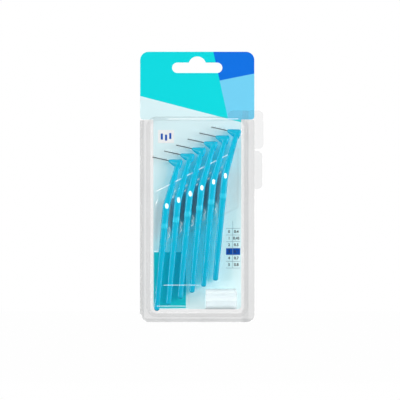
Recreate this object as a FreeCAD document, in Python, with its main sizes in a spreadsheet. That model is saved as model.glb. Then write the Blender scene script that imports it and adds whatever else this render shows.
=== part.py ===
# Hang pack of angled interdental brushes: a printed header card, a clear hinged case of two
# thermoformed halves, six brushes and a protective cap.
# Millimetres and degrees. The origin is the centre of the hang slot, +X is to the right,
# +Z is up and the front of the pack faces -Y.

import FreeCAD
import Part
import Sketcher
import math
import os
import re

BRUSHES = 6
BRISTLE_ROWS = 16

# Driving dimensions
SIZES = {
    # Header card with its hang slot, and the tongue that goes down inside the case
    "slot_width": 32.0,
    "slot_height": 6.6,
    "slot_crown_radius": 5.7,
    "slot_crown_rise": 1.5,
    "card_width": 72.8,
    "card_top": 10.2,
    "header_overlap": 1.9,
    "tongue_width": 56.0,
    "tongue_short": 5.4,
    "card_thickness": 0.4,
    "card_corner": 5.3,
    "shoulder_corner": 2.0,
    "shoulder_gap": 0.2,
    # Clear sheet that both halves of the case are formed from
    "sheet_wall": 0.45,
    "sheet_gap": 0.1,
    "flange_side": 3.75,
    "flange_foot": 2.9,
    "case_corner": 5.0,
    "tab_corner": 3.2,
    # Front half: a drafted tray with room round the brushes, and the upper opening tab
    "tray_top": 31.1,
    "room_above": 6.86,
    "room_below": 4.45,
    "room_left": 4.23,
    "room_right": 5.08,
    "tray_depth": 10.0,
    "tray_draft": 19.0,
    "tray_corner": 7.0,
    "tray_bevel": 1.8,
    "front_tab_width": 22.6,
    "front_tab_reach": 5.7,
    "front_tab_rise": 3.85,
    "front_tab_height": 24.55,
    # Slanted band pressed into the front, which holds the brushes at their bends
    "band_margin": 6.45,
    "band_above": 13.2,
    "band_below": 24.7,
    "band_depth": 1.65,
    "dent_draft": 40.0,
    # Ridges between the handles, and the two that pen the cap in
    "ridge_below_bend": 19.1,
    "ridge_length": 8.2,
    "ridge_depth": 3.2,
    "ridge_gap": 0.3,
    "pen_ridge_width": 2.0,
    "pen_ridge_depth": 2.6,
    # Shallow panel pressed into the lower left of the front
    "panel_margin": 8.75,
    "panel_foot": 8.0,
    "panel_width": 19.0,
    "panel_height": 12.6,
    "panel_depth": 0.8,
    # Back half: a flat panel with a channel for the tongue, and the lower opening tab
    "channel_side_gap": 1.2,
    "channel_floor_gap": 0.3,
    "channel_end_gap": 2.0,
    "back_tab_reach": 5.0,
    "back_tab_height": 24.2,
    "tab_gap": 1.3,
    # Hinge along the left edge: a bead on the front half lies in a cradle on the back half
    "hinge_margin": 3.05,
    "bead_radius": 0.55,
    "bead_clearance": 0.1,
    "cradle_wall": 0.4,
    "cradle_sweep": 140.0,
    # Step from each brush to the next, and the gap between a piece and its seat
    "brush_step_across": 7.45,
    "brush_step_up": 3.82,
    "seat_gap": 0.3,
    # Handle: a tapered grip and a tapered neck, which meet at the bend
    "handle_half_depth": 2.9,
    "grip_length": 66.9,
    "grip_lean": 5.2,
    "tip_half_width": 1.7,
    "tip_bevel": 1.0,
    "bend_half_width": 2.25,
    "neck_length": 28.5,
    "neck_lean": 15.7,
    "crown_half_width": 1.55,
    "handle_round": 1.2,
    # Head: a rounded cone across the top of the neck, with a blind hole for the wire
    "head_length": 8.8,
    "head_reach": 6.3,
    "head_tilt": 12.4,
    "head_droop": 6.6,
    "head_back_radius": 3.4,
    "head_tip_radius": 0.85,
    "head_bevel": 1.5,
    # Wire core and the filaments twisted into it
    "wire_radius": 0.3,
    "wire_free": 10.6,
    "wire_anchor": 5.0,
    "wire_clearance": 0.03,
    "filament_side": 0.08,
    "filament_clearance": 0.02,
    "bristle_radius": 1.6,
    "bristle_start": 1.2,
    "bristle_end": 10.2,
    "twist_pitch": 2.4,
    # Protective cap, lying in its pen at the lower right, under the tip of the last handle but one
    "cap_room_right": 7.45,
    "cap_room_below": 5.6,
    "cap_tip_gap": 1.13,
    "cap_length": 20.0,
    "cap_height": 13.0,
    "cap_depth": 7.0,
    "cap_wall": 0.7,
    "cap_corner": 2.6,
    "cap_end_bevel": 1.2,
}

START, END, CENTRE = range(1, 4)
ORIGIN = -START
AROUND_Y = FreeCAD.Vector(0, 1, 0)

doc = FreeCAD.newDocument("BrushPack")
sheet = doc.addObject("Spreadsheet::Sheet", "Sizes")
for row, (alias, size) in enumerate(SIZES.items(), start=1):
    sheet.set(f"A{row}", alias)
    sheet.set(f"B{row}", str(size))
    sheet.setAlias(f"B{row}", alias)
doc.recompute()


# Places and sizes worked out from the driving ones. A "drop" is measured downwards from the centre
# of the hang slot.
WORKED_OUT = {
    "wire_exit_x": "neck_length * sin(neck_lean) - head_reach * cos(head_tilt)",
    "wire_exit_z": "neck_length * cos(neck_lean) + head_reach * sin(head_tilt)",
    "brush_left": "wire_free * cos(head_tilt) - wire_exit_x",
    "brush_right": "wire_exit_x + head_length * cos(head_tilt)",
    "brush_above": "wire_exit_z + wire_free * sin(head_tilt)",
    "brush_below": "grip_length * cos(grip_lean)",
    "row_width": f"{BRUSHES - 1} * brush_step_across",
    "row_rise": f"{BRUSHES - 1} * brush_step_up",
    "tray_half_width": "(row_width + brush_left + brush_right + room_left + room_right) / 2",
    "first_brush_left": "tray_half_width - room_left - brush_left",
    "first_brush_drop": "tray_top + room_above + brush_above + row_rise",
    "cap_tip_drop": "first_brush_drop - row_rise + brush_step_up + brush_below",
    "cap_space": "cap_tip_gap + cap_height + cap_room_below",
    "tray_drop": "max(first_brush_drop + brush_below + room_below; cap_tip_drop + cap_space)",
    "tray_inner": "-(tray_depth - sheet_wall)",
    "band_face": "-(tray_depth - band_depth)",
    "band_inner": "band_face + sheet_wall",
    "band_climb": "brush_step_up / brush_step_across",
    "band_half_length": "tray_half_width - band_margin",
    "brush_plane": "band_inner + seat_gap + handle_half_depth",
    "handle_spacing": "brush_step_across * cos(grip_lean) - brush_step_up * sin(grip_lean)",
    "handle_ridge_half": "handle_spacing / 2 - bend_half_width - ridge_gap",
    "panel_left": "tray_half_width - panel_margin",
    "panel_right": "panel_left - panel_width",
    "panel_drop": "tray_drop - panel_foot",
    "panel_top": "panel_drop - panel_height",
    "cap_left": "tray_half_width - cap_room_right - cap_length",
    "cap_drop": "tray_drop - cap_room_below - cap_height",
    "cap_tip_left": f"first_brush_left - {BRUSHES - 2} * brush_step_across + grip_length * sin(grip_lean)",
    "level_ridge_left": "max(cap_left; tip_half_width - cap_tip_left + pen_gap)",
    "pen_gap": "pen_ridge_width / 2 + seat_gap",
    "header_drop": "tray_top + header_overlap",
    "tongue_drop": "tray_drop - tongue_short",
    "card_back": "sheet_gap + card_thickness",
    "flange_right": "tray_half_width + flange_side",
    "case_drop": "tray_drop + flange_foot",
    "front_tab_right": "flange_right + front_tab_reach",
    "front_tab_left": "front_tab_right - front_tab_width",
    "front_tab_top": "tray_top - front_tab_rise",
    "front_tab_drop": "front_tab_top + front_tab_height",
    "back_drop": "header_drop + shoulder_gap",
    "back_tab_right": "flange_right + back_tab_reach",
    "back_tab_top": "front_tab_drop + tab_gap",
    "back_tab_drop": "back_tab_top + back_tab_height",
    "channel_floor": "card_back + channel_floor_gap",
    "hinge_reach": "tray_half_width + hinge_margin",
    "hinge_y": "sheet_gap / 2",
    "hinge_top": "back_drop + shoulder_gap",
    "hinge_drop": "case_drop - case_corner",
}


def bound(formula):
    """A formula on the names of sizes and worked-out places, as an expression on the sheet's cells."""

    def cell(found):
        word = found[0]
        if word in WORKED_OUT:
            return f"({bound(WORKED_OUT[word])})"
        return f"Sizes.{word}" if word in SIZES else word

    return re.sub(r"[a-z_]+", cell, formula)


def number(formula):
    """The present value of a formula."""
    return float(sheet.evalExpression(bound(formula)))


def make_body(label):
    body = doc.addObject("PartDesign::Body", label)
    body.Label = label
    doc.recompute()
    return body


def make_sketch(body, name, role, offset, turn="0"):
    """A sketch on one of the body's origin planes, set off by three formulas and turned about
    the plane's Y axis."""
    plane = next(item for item in body.Origin.OriginFeatures if item.Role == role)
    sketch = body.newObject("Sketcher::SketchObject", name)
    sketch.AttachmentSupport = (plane, [""])
    sketch.MapMode = "FlatFace"
    sketch.AttachmentOffset = FreeCAD.Placement(
        FreeCAD.Vector(*[number(part) for part in offset]),
        FreeCAD.Rotation(AROUND_Y, number(turn)))
    for axis, part in zip("xyz", offset):
        sketch.setExpression(f"AttachmentOffset.Base.{axis}", bound(part))
    if turn != "0":
        sketch.setExpression("AttachmentOffset.Rotation.Angle", bound(turn))
    return sketch


def front_sketch(body, name, y="0"):
    """A sketch that faces the front at the given Y: across is +X, up is +Z, its normal is -Y."""
    return make_sketch(body, name, "XZ_Plane", ("0", "0", f"-({y})"))


def level_sketch(body, name, z="0"):
    """A sketch that faces up at the given Z."""
    return make_sketch(body, name, "XY_Plane", ("0", "0", z))


def pin(sketch, item, point, x, y):
    """Hold a point of a sketch at two formulas from the sketch's origin."""
    for kind, formula in (("DistanceX", x), ("DistanceY", y)):
        rule = sketch.addConstraint(Sketcher.Constraint(kind, ORIGIN, START, item, point, number(formula)))
        sketch.setExpression(f"Constraints[{rule}]", bound(formula))


def measure(sketch, kind, item, formula):
    """Give a sketch's line or arc a length or a radius."""
    rule = sketch.addConstraint(Sketcher.Constraint(kind, item, number(formula)))
    sketch.setExpression(f"Constraints[{rule}]", bound(formula))


def add_outline(sketch, corners):
    """A closed polygon whose corners are pairs of formulas."""
    points = [FreeCAD.Vector(number(x), number(y), 0) for x, y in corners]
    lines = []
    for start, end in zip(points, points[1:] + points[:1]):
        lines.append(sketch.addGeometry(Part.LineSegment(start, end)))
    for line, following in zip(lines, lines[1:] + lines[:1]):
        sketch.addConstraint(Sketcher.Constraint("Coincident", line, END, following, START))
    for line, (x, y) in zip(lines, corners):
        pin(sketch, line, START, x, y)


def add_circle(sketch, x, y, radius):
    circle = Part.Circle(FreeCAD.Vector(number(x), number(y), 0), FreeCAD.Vector(0, 0, 1), number(radius))
    item = sketch.addGeometry(circle)
    pin(sketch, item, CENTRE, x, y)
    measure(sketch, "Radius", item, radius)


def add_dome(sketch, rise, radius):
    """The part above the sketch's X axis of a circle whose centre is some way up its Y axis."""
    low = math.asin(number(f"{rise} / {radius}"))
    circle = Part.Circle(FreeCAD.Vector(0, number(rise), 0), FreeCAD.Vector(0, 0, 1), number(radius))
    arc = sketch.addGeometry(Part.ArcOfCircle(circle, -low, math.pi + low))
    half = number(radius) * math.cos(low)
    chord = sketch.addGeometry(Part.LineSegment(FreeCAD.Vector(-half, 0, 0), FreeCAD.Vector(half, 0, 0)))
    sketch.addConstraint(Sketcher.Constraint("Coincident", arc, END, chord, START))
    sketch.addConstraint(Sketcher.Constraint("Coincident", arc, START, chord, END))
    sketch.addConstraint(Sketcher.Constraint("PointOnObject", chord, START, ORIGIN))
    sketch.addConstraint(Sketcher.Constraint("Horizontal", chord))
    pin(sketch, arc, CENTRE, "0", rise)
    measure(sketch, "Radius", arc, radius)


def add_rounded(sketch, centres, radius):
    """A closed outline of equal arcs about the given centres, in anticlockwise order, joined by
    lines that touch them: two centres make a slot and four a rounded rectangle."""
    spots = [FreeCAD.Vector(number(x), number(y), 0) for x, y in centres]
    size = number(radius)
    headings = []
    for here, there in zip(spots, spots[1:] + spots[:1]):
        way = there - here
        headings.append(math.atan2(way.y, way.x) - math.pi / 2)
    arcs = []
    for index, spot in enumerate(spots):
        circle = Part.Circle(spot, FreeCAD.Vector(0, 0, 1), size)
        first = headings[index - 1]
        last = headings[index]
        while last <= first:
            last += 2 * math.pi
        arcs.append(sketch.addGeometry(Part.ArcOfCircle(circle, first, last)))
    for index, arc in enumerate(arcs):
        following = arcs[(index + 1) % len(arcs)]
        edge = FreeCAD.Vector(math.cos(headings[index]), math.sin(headings[index]), 0) * size
        after = spots[(index + 1) % len(spots)]
        line = sketch.addGeometry(Part.LineSegment(spots[index] + edge, after + edge))
        sketch.addConstraint(Sketcher.Constraint("Tangent", arc, END, line, START))
        sketch.addConstraint(Sketcher.Constraint("Tangent", line, END, following, START))
    for arc, (x, y) in zip(arcs, centres):
        pin(sketch, arc, CENTRE, x, y)
        measure(sketch, "Radius", arc, radius)


def corners_of(left, bottom, right, top, inset="0"):
    """Corners of an upright rectangle, drawn in by an inset, in anticlockwise order."""
    return [
        (f"{left} + {inset}", f"{bottom} + {inset}"),
        (f"{right} - ({inset})", f"{bottom} + {inset}"),
        (f"{right} - ({inset})", f"{top} - ({inset})"),
        (f"{left} + {inset}", f"{top} - ({inset})"),
    ]


def add_feature(body, kind, name, sketch, **formulas):
    """A PartDesign feature on a sketch, with its properties bound to formulas."""
    feature = body.newObject(f"PartDesign::{kind}", name)
    feature.Profile = sketch
    for prop, formula in formulas.items():
        feature.setExpression(prop, bound(formula))
    return feature


def pad(body, name, sketch, length, draft="0", backwards=False):
    """Raise a sketch along its normal, or against it, drawing in by the draft."""
    feature = add_feature(body, "Pad", name, sketch, Length=length, TaperAngle=f"-({draft})")
    feature.Reversed = backwards
    doc.recompute()


def pocket(body, name, sketch, length, draft="0", forwards=False):
    """Sink a sketch against its normal, or along it, drawing in by the draft."""
    before = body.Shape.Volume
    feature = add_feature(body, "Pocket", name, sketch, Length=length, TaperAngle=f"-({draft})")
    feature.Reversed = forwards
    doc.recompute()
    if not body.Shape.Volume < before:
        raise ValueError(f"{name} cuts nothing")


def revolve(body, kind, name, sketch):
    """Turn a sketch about its own X axis, as a Revolution or a Groove."""
    feature = add_feature(body, kind, name, sketch)
    feature.ReferenceAxis = (sketch, ["H_Axis"])
    feature.Angle = 360
    doc.recompute()


def dress(body, kind, name, prop, size, wanted):
    """Round or bevel the edges of the body that the chooser picks."""
    base = body.Tip
    edges = [f"Edge{place}" for place, edge in enumerate(base.Shape.Edges, start=1) if wanted(edge)]
    if not edges:
        raise ValueError(f"{name} finds no edge")
    feature = body.newObject(f"PartDesign::{kind}", name)
    feature.Base = (base, edges)
    feature.setExpression(prop, bound(size))
    doc.recompute()


def fillet(body, name, radius, wanted):
    dress(body, "Fillet", name, "Radius", radius, wanted)


def chamfer(body, name, size, wanted):
    dress(body, "Chamfer", name, "Size", size, wanted)


def hollow(body, name, wall, wanted):
    """Shell the body inwards, open at the face that the chooser picks."""
    base = body.Tip
    faces = [f"Face{place}" for place, face in enumerate(base.Shape.Faces, start=1) if wanted(face)]
    feature = body.newObject("PartDesign::Thickness", name)
    feature.Base = (base, faces)
    feature.setExpression("Value", bound(wall))
    feature.Reversed = True
    doc.recompute()


def near(one, other):
    return abs(one - other) < 1e-4


def upright_at(corners):
    """Chooser for the edges along Y that stand at the given corners."""
    spots = [(number(x), number(z)) for x, z in corners]

    def wanted(edge):
        ends = [vertex.Point for vertex in edge.Vertexes]
        if len(ends) < 2 or near(ends[0].y, ends[1].y):
            return False
        return any(all(near(end.x, x) and near(end.z, z) for end in ends) for x, z in spots)

    return wanted


def all_at(axis, formula):
    """Chooser for the edges or faces whose corners all have one coordinate."""
    level = number(formula)
    return lambda item: all(near(getattr(vertex.Point, axis), level) for vertex in item.Vertexes)


def limb_edge(along, lean, half_width):
    """A point some way up a line that leans right of upright by an angle, or down it if that is
    negative, and a half width to the right of it, or to the left if that is negative."""
    return (
        f"({along}) * sin({lean}) + ({half_width}) * cos({lean})",
        f"({along}) * cos({lean}) - ({half_width}) * sin({lean})",
    )


def make_header_card():
    """One T-shaped card: a wide header with a hang slot, and a tongue that fills the case."""
    body = make_body("header_card")
    shoulders = [("-card_width / 2", "-header_drop"), ("card_width / 2", "-header_drop")]
    tops = [("card_width / 2", "card_top"), ("-card_width / 2", "card_top")]
    feet = [("-tongue_width / 2", "-tongue_drop"), ("tongue_width / 2", "-tongue_drop")]
    outline = front_sketch(body, "CardOutline", "card_back")
    add_outline(outline, [
        *feet,
        ("tongue_width / 2", "-header_drop"),
        shoulders[1],
        *tops,
        shoulders[0],
        ("-tongue_width / 2", "-header_drop"),
    ])
    pad(body, "Card", outline, "card_thickness")
    fillet(body, "CardTopCorners", "card_corner", upright_at(tops))
    fillet(body, "CardLowerCorners", "shoulder_corner", upright_at(shoulders + feet))
    slot = front_sketch(body, "SlotOutline", "sheet_gap")
    slot_end = "(slot_width - slot_height) / 2"
    add_rounded(slot, [(f"-{slot_end}", "0"), (slot_end, "0")], "slot_height / 2")
    pocket(body, "Slot", slot, "card_thickness")
    crown = front_sketch(body, "SlotCrownOutline", "sheet_gap")
    add_dome(crown, "slot_crown_rise", "slot_crown_radius")
    pocket(body, "SlotCrown", crown, "card_thickness")
    return body


def add_dent(body, name, corners, depth):
    """Press an area of the tray's front inwards, with sloping sides and an even wall.
    The corners come from a function of how far the outline is moved out."""
    wall_shift = "sheet_wall * (1 - sin(dent_draft)) / cos(dent_draft)"
    inner = front_sketch(body, f"{name}InnerOutline", "tray_inner - sheet_wall / 2")
    add_outline(inner, corners(f"({wall_shift} + sheet_wall / 2 * tan(dent_draft))"))
    pad(body, f"{name}Inner", inner, f"{depth} + sheet_wall / 2", "dent_draft", backwards=True)
    outer = front_sketch(body, f"{name}OuterOutline", "-tray_depth")
    add_outline(outer, corners("0"))
    pocket(body, f"{name}Outer", outer, depth, "dent_draft")


def ridge_corners(ridge, shrink):
    """Corners of a bar with bevelled ends, drawn in all round by a formula."""
    x, z, lean, half_length, half_width = ridge
    reach = f"({half_length} - {shrink})"
    half = f"({half_width} - {shrink})"
    quarter = [(reach, f"{half} / 2"), (f"{reach} - {half} / 2", half)]
    corners = []
    for along_sign, across_sign, order in (("", "", 1), ("-", "", -1), ("-", "-", 1), ("", "-", -1)):
        for along, across in quarter[::order]:
            right, up = limb_edge(f"{along_sign}({along})", lean, f"{across_sign}({across})")
            corners.append((f"{x} + {right}", f"{z} + {up}"))
    return corners


def add_ridges(body, name, ridges, face, depth):
    """Press narrow hollow ridges inwards from an outer face of the tray. Each has a middle point,
    a lean from upright, a half length and a half width."""
    inner = front_sketch(body, f"{name}InnerOutline", f"{face} + sheet_wall / 2")
    outer = front_sketch(body, f"{name}OuterOutline", face)
    for ridge in ridges:
        add_outline(inner, ridge_corners(ridge, "0"))
        add_outline(outer, ridge_corners(ridge, f"min(sheet_wall; {ridge[-1]} / 2)"))
    pad(body, f"{name}Inner", inner, f"{depth} + sheet_wall / 2", backwards=True)
    pocket(body, f"{name}Outer", outer, depth)


def band_corners(out):
    """Corners of the slanted band, which runs parallel to the line through the bends."""
    reach = f"(band_half_length + {out})"
    steep = f"({out} * sqrt(1 + band_climb ^ 2))"
    corners = []
    low = f"(-band_below - {steep})"
    high = f"(band_above + {steep})"
    for side, edge in (("-", low), ("", low), ("", high), ("-", high)):
        bend_line = f"-first_brush_drop + ({side}{reach} + first_brush_left) * band_climb"
        corners.append((f"{side}{reach}", f"{bend_line} + {edge}"))
    return corners


def panel_corners(out):
    return corners_of("-panel_left", "-panel_drop", "-panel_right", "-panel_top", f"-({out})")


def handle_ridges():
    """A ridge in the middle of each gap between two handles, along the grips."""
    right, up = limb_edge("-ridge_below_bend", "grip_lean", "0")
    ridges = []
    for gap in range(BRUSHES - 1):
        x = f"-first_brush_left + {gap + 0.5} * brush_step_across + {right}"
        z = f"-first_brush_drop + {gap + 0.5} * brush_step_up + {up}"
        ridges.append((x, z, "grip_lean", "(ridge_length / 2)", "handle_ridge_half"))
    return ridges


def pen_ridges():
    """A level ridge above the cap, clear of the handle tip there, and an upright one to its left."""
    half_width = "(pen_ridge_width / 2)"
    right = "(cap_left + cap_length)"
    half_length = f"(({right} - level_ridge_left) / 2)"
    half_rise = "((cap_height - cap_corner) / 2)"
    level = (f"{right} - {half_length}", "-(cap_drop - pen_gap)", "90", half_length, half_width)
    upright = ("cap_left - pen_gap", f"-cap_drop - {half_rise}", "0", half_rise, half_width)
    return [level, upright]


def make_front_tray():
    """Front half of the case: a drafted tray with a flange, the upper tab and the hinge bead."""
    body = make_body("front_tray")
    centres = corners_of("-tray_half_width", "-tray_drop", "tray_half_width", "-tray_top", "tray_corner")
    block = front_sketch(body, "TrayOutline")
    add_rounded(block, centres, "tray_corner")
    pad(body, "TrayBlock", block, "tray_depth", "tray_draft")
    chamfer(body, "TrayFrontEdge", "tray_bevel", all_at("y", "-tray_depth"))
    half_corner = "((90 + tray_draft) / 2)"
    inner_bevel = f"(tray_bevel - sheet_wall * (1 / sin({half_corner}) - 1) / cos({half_corner}))"
    bevel_rise = f"({inner_bevel} * cos(tray_draft))"
    mouth_depth = f"(tray_depth - sheet_wall - {bevel_rise})"
    mouth_corner = "tray_corner - sheet_wall / cos(tray_draft)"
    mouth = front_sketch(body, "CavityMouthOutline")
    add_rounded(mouth, centres, mouth_corner)
    pocket(body, "CavityMouth", mouth, mouth_depth, "tray_draft", forwards=True)
    floor = front_sketch(body, "CavityFloorOutline", f"-{mouth_depth}")
    add_rounded(floor, centres, f"{mouth_corner} - {mouth_depth} * tan(tray_draft)")
    pocket(body, "CavityFloor", floor, bevel_rise, half_corner, forwards=True)

    flange = front_sketch(body, "FlangeOutline")
    low = [("-hinge_reach", "-case_drop"), ("flange_right", "-case_drop")]
    tab = [
        ("front_tab_right", "-front_tab_drop"),
        ("front_tab_right", "-front_tab_top"),
        ("front_tab_left", "-front_tab_top"),
    ]
    add_outline(flange, [
        *low,
        ("flange_right", "-front_tab_drop"),
        *tab,
        ("front_tab_left", "-hinge_top"),
        ("-hinge_reach", "-hinge_top"),
    ])
    add_rounded(flange, centres, "tray_corner - sheet_wall * 0.65")
    pad(body, "Flange", flange, "sheet_wall")
    fillet(body, "FlangeCorners", "case_corner", upright_at(low))
    fillet(body, "FrontTabCorners", "tab_corner", upright_at(tab))

    bead = level_sketch(body, "BeadOutline", "-hinge_drop")
    add_circle(bead, "-hinge_reach", "hinge_y", "bead_radius")
    pad(body, "Bead", bead, "hinge_drop - hinge_top")

    add_dent(body, "Band", band_corners, "band_depth")
    add_dent(body, "Panel", panel_corners, "panel_depth")
    add_ridges(body, "HandleRidges", handle_ridges(), "band_face", "ridge_depth")
    add_ridges(body, "PenRidges", pen_ridges(), "-tray_depth", "pen_ridge_depth")
    return body


def make_back_panel():
    """Back half of the case: a flat panel with a channel for the tongue, open at the top, the
    lower tab and the hinge cradle."""
    body = make_body("back_panel")
    inner = "(bead_radius + bead_clearance)"
    outer = f"({inner} + cradle_wall)"
    left = f"-hinge_reach + {inner} + cradle_wall / 2"
    low = [(left, "-case_drop"), ("flange_right", "-case_drop")]
    tab = [("back_tab_right", "-back_tab_drop"), ("back_tab_right", "-back_tab_top")]
    outline = front_sketch(body, "PanelOutline", "sheet_gap + sheet_wall")
    add_outline(outline, [
        *low,
        ("flange_right", "-back_tab_drop"),
        *tab,
        ("flange_right", "-back_tab_top"),
        ("flange_right", "-back_drop"),
        (left, "-back_drop"),
    ])
    pad(body, "Sheet", outline, "sheet_wall")
    fillet(body, "SheetCorners", "case_corner", upright_at(low))
    fillet(body, "BackTabCorners", "tab_corner", upright_at(tab))

    side = "(tongue_width / 2 + channel_side_gap)"
    end = "-(tongue_drop + channel_end_gap)"
    rise = front_sketch(body, "ChannelRiseOutline", "channel_floor + sheet_wall")
    rise_side = f"({side} + sheet_wall)"
    add_outline(rise, corners_of(f"-{rise_side}", f"{end} - sheet_wall", rise_side, "-back_drop"))
    pad(body, "ChannelRise", rise, "channel_floor + sheet_wall - sheet_gap")
    channel = front_sketch(body, "ChannelOutline", "sheet_gap")
    add_outline(channel, corners_of(f"-{side}", end, side, "-back_drop + sheet_wall"))
    pocket(body, "Channel", channel, "channel_floor - sheet_gap")

    cradle = level_sketch(body, "CradleOutline", "-hinge_drop")
    add_ring_part(cradle, "-hinge_reach", "hinge_y", inner, outer, "cradle_sweep")
    pad(body, "Cradle", cradle, "hinge_drop - hinge_top")
    return body


def add_ring_part(sketch, x, y, inner, outer, sweep):
    """Part of a flat ring, from the direction of +X through the given angle."""
    centre = FreeCAD.Vector(number(x), number(y), 0)
    arcs = []
    for radius in (inner, outer):
        circle = Part.Circle(centre, FreeCAD.Vector(0, 0, 1), number(radius))
        arcs.append(sketch.addGeometry(Part.ArcOfCircle(circle, 0, math.radians(number(sweep)))))
        measure(sketch, "Radius", arcs[-1], radius)
    for angle, point in (("0", START), (sweep, END)):
        ends = [
            (f"{x} + {radius} * cos({angle})", f"{y} + {radius} * sin({angle})")
            for radius in (inner, outer)
        ]
        spots = [FreeCAD.Vector(number(across), number(up), 0) for across, up in ends]
        line = sketch.addGeometry(Part.LineSegment(*spots))
        for side, arc, spot in zip((START, END), arcs, ends):
            pin(sketch, line, side, *spot)
            sketch.addConstraint(Sketcher.Constraint("Coincident", arc, point, line, side))


def place_brush_piece(piece, place):
    """Move a piece of a brush, drawn about the bend, to its place in the row of brushes."""
    piece.setExpression("Placement.Base.x", bound(f"-first_brush_left + {place} * brush_step_across"))
    piece.setExpression("Placement.Base.y", bound("brush_plane"))
    piece.setExpression("Placement.Base.z", bound(f"-first_brush_drop + {place} * brush_step_up"))


def head_sketch(body, name, tilt="head_tilt"):
    """A sketch in the brush's middle plane, whose origin is where the wire leaves the head and
    whose X axis points out along the wire, or along another line with the tilt given."""
    sketch = make_sketch(body, name, "XZ_Plane", ("wire_exit_x", "wire_exit_z", "0"))
    turned = FreeCAD.Rotation(FreeCAD.Vector(0, 0, 1), number(f"180 - ({tilt})"))
    sketch.AttachmentOffset = FreeCAD.Placement(sketch.AttachmentOffset.Base, turned)
    sketch.setExpression("AttachmentOffset.Rotation.Angle", bound(f"180 - ({tilt})"))
    return sketch


def make_handle(place):
    """Handle and head of one brush, moulded in one piece."""
    body = make_body(f"handle_{place + 1}")
    mid_lean = "((grip_lean + neck_lean) / 2)"
    foot = "tip_half_width - tip_bevel"
    tip = [limb_edge("-grip_length", "grip_lean", f"{side}({foot})") for side in ("-", "")]
    heel = [limb_edge("-grip_length + tip_bevel", "grip_lean", f"{side}tip_half_width") for side in ("-", "")]
    bend = [limb_edge("0", mid_lean, f"{side}bend_half_width") for side in ("-", "")]
    crown = [limb_edge("neck_length", "neck_lean", f"{side}crown_half_width") for side in ("-", "")]
    outline = front_sketch(body, "HandleOutline", "handle_half_depth")
    add_outline(outline, [*tip, heel[1], bend[1], *reversed(crown), bend[0], heel[0]])
    pad(body, "Limbs", outline, "2 * handle_half_depth")
    shortest = number("neck_length / 2")
    fillet(body, "LimbEdges", "handle_round", lambda edge: edge.BoundBox.ZLength > shortest)

    head = head_sketch(body, "HeadProfile", "head_tilt + head_droop")
    add_outline(head, [
        ("-head_length", "0"),
        ("0", "0"),
        ("0", "head_tip_radius"),
        ("-head_length + head_bevel", "head_back_radius"),
        ("-head_length", "head_back_radius - head_bevel"),
    ])
    revolve(body, "Revolution", "Head", head)

    hole = head_sketch(body, "WireHoleProfile")
    hole_radius = "wire_radius + wire_clearance"
    add_outline(hole, [
        ("-wire_anchor", "0"),
        ("head_tip_radius", "0"),
        ("head_tip_radius", hole_radius),
        ("-wire_anchor", hole_radius),
    ])
    revolve(body, "Groove", "WireHole", hole)
    place_brush_piece(body, place)
    return body


def make_wire(place):
    """Core of one brush: the twisted wire, from its anchor in the head to its cut end."""
    body = make_body(f"wire_{place + 1}")
    profile = head_sketch(body, "WireProfile")
    inner_end = "-(wire_anchor - wire_clearance)"
    add_outline(profile, [
        (inner_end, "0"),
        ("wire_free", "0"),
        ("wire_free", "wire_radius"),
        (inner_end, "wire_radius"),
    ])
    revolve(body, "Revolution", "Wire", profile)
    place_brush_piece(body, place)
    return body


def make_bristles(place):
    """Filaments of one brush: pairs on opposite sides of the wire, turning with its twist."""
    tilt = math.radians(number("head_tilt"))
    along = FreeCAD.Vector(-math.cos(tilt), 0, math.sin(tilt))
    across = FreeCAD.Vector(math.sin(tilt), 0, math.cos(tilt))
    exit_point = FreeCAD.Vector(number("wire_exit_x"), 0, number("wire_exit_z"))
    side = number("filament_side")
    root = number("wire_radius + filament_clearance")
    length = number("bristle_radius") - root
    first = number("bristle_start")
    row_step = (number("bristle_end") - first) / (BRISTLE_ROWS - 1)
    filaments = []
    for row_place in range(BRISTLE_ROWS):
        reach = first + row_place * row_step
        twist = 2 * math.pi * reach / number("twist_pitch")
        for half_turn in (0, math.pi):
            outwards = across * math.cos(twist + half_turn) + AROUND_Y * math.sin(twist + half_turn)
            turned = FreeCAD.Rotation(along, along.cross(outwards), outwards, "ZXY")
            filament = Part.makeBox(side, side, length, FreeCAD.Vector(-side / 2, -side / 2, root))
            filament.Placement = FreeCAD.Placement(exit_point + along * reach, turned)
            filaments.append(filament)
    bristles = doc.addObject("Part::Feature", f"bristles_{place + 1}")
    bristles.Label = f"bristles_{place + 1}"
    bristles.Shape = Part.makeCompound(filaments)
    place_brush_piece(bristles, place)
    return bristles


def make_protective_cap():
    """Clear cap that slips over a brush's head: a flat tube with rounded sides, closed at one end."""
    body = make_body("protective_cap")
    section = make_sketch(body, "CapSection", "YZ_Plane", ("0", "0", "0"))
    add_rounded(section, corners_of("0", "-cap_height", "cap_depth", "0", "cap_corner"), "cap_corner")
    pad(body, "CapBlock", section, "cap_length")
    chamfer(body, "CapEnd", "cap_end_bevel", all_at("x", "cap_length"))
    hollow(body, "CapHollow", "cap_wall", all_at("x", "0"))
    body.setExpression("Placement.Base.x", bound("cap_left"))
    body.setExpression("Placement.Base.y", bound("tray_inner + seat_gap"))
    body.setExpression("Placement.Base.z", bound("-cap_drop"))
    return body


pieces = [make_header_card(), make_front_tray(), make_back_panel(), make_protective_cap()]
for place in range(BRUSHES):
    pieces += [make_handle(place), make_wire(place), make_bristles(place)]
doc.recompute()

for item in doc.Objects:
    if "Invalid" in item.State or "Error" in item.State:
        raise ValueError(f"{item.Label} failed to build: {item.State}")
for piece in pieces:
    if piece.Shape.isNull() or not piece.Shape.isValid():
        raise ValueError(f"{piece.Label} has no valid shape")

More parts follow.
